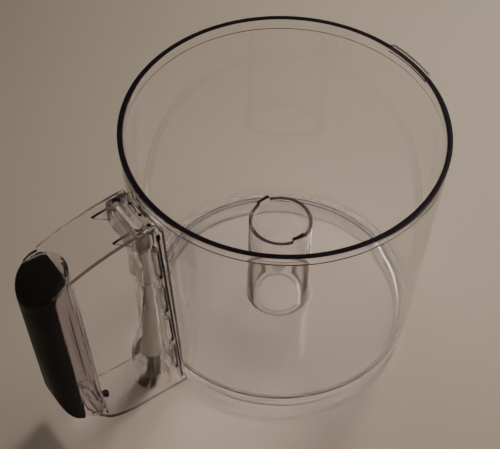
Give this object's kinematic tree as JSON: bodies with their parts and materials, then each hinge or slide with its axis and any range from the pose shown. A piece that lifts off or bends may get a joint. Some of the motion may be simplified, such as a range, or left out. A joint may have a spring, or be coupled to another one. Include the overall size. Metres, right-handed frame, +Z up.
{
  "type": "food processor work bowl",
  "caption": "Clear tapered work bowl with a central drive tube, a loop handle with a dark grip, and a sprung interlock rod inside the handle.",
  "frame": {"origin": "on the bowl's axis, in the plane of the foot ring's underside", "axes": "+Z up along the bowl's axis, -X towards the handle, +Y completes a right-handed frame"},
  "size_m": [0.2722, 0.19, 0.165],
  "materials": {
    "clear_plastic": "clear moulded polycarbonate, polished, very slightly warm grey",
    "grip_black": "black soft-touch moulded cover with a fine even texture",
    "milky_nylon": "natural nylon, milky and slightly yellow",
    "spring_steel": "drawn spring wire"
  },
  "bodies": {
    "bowl": {"bowl_wall": "clear_plastic", "bowl_floor": "clear_plastic", "drive_tube": "clear_plastic", "foot_ring": "clear_plastic", "lid_lug": "clear_plastic", "handle_pad": "clear_plastic", "handle_top_arm": "clear_plastic", "handle_grip_back": "clear_plastic", "handle_lower_arm": "clear_plastic", "interlock_housing": "clear_plastic", "spring_cup": "clear_plastic", "channel_cover": "clear_plastic", "cover_pegs": "clear_plastic", "grip_cover": "grip_black", "grip_snap_pegs": "grip_black", "return_spring": "spring_steel"},
    "pushrod": {"pushrod": "milky_nylon"}
  },
  "joints": [
    {"name": "pushrod_press", "type": "slide", "parent": "bowl", "child": "pushrod", "axis": [0, 0, -1], "range_m": [0, 0.0065], "stiffness_N_per_m": 250, "springref_m": -0.012, "deforming": ["return_spring"]}
  ]
}
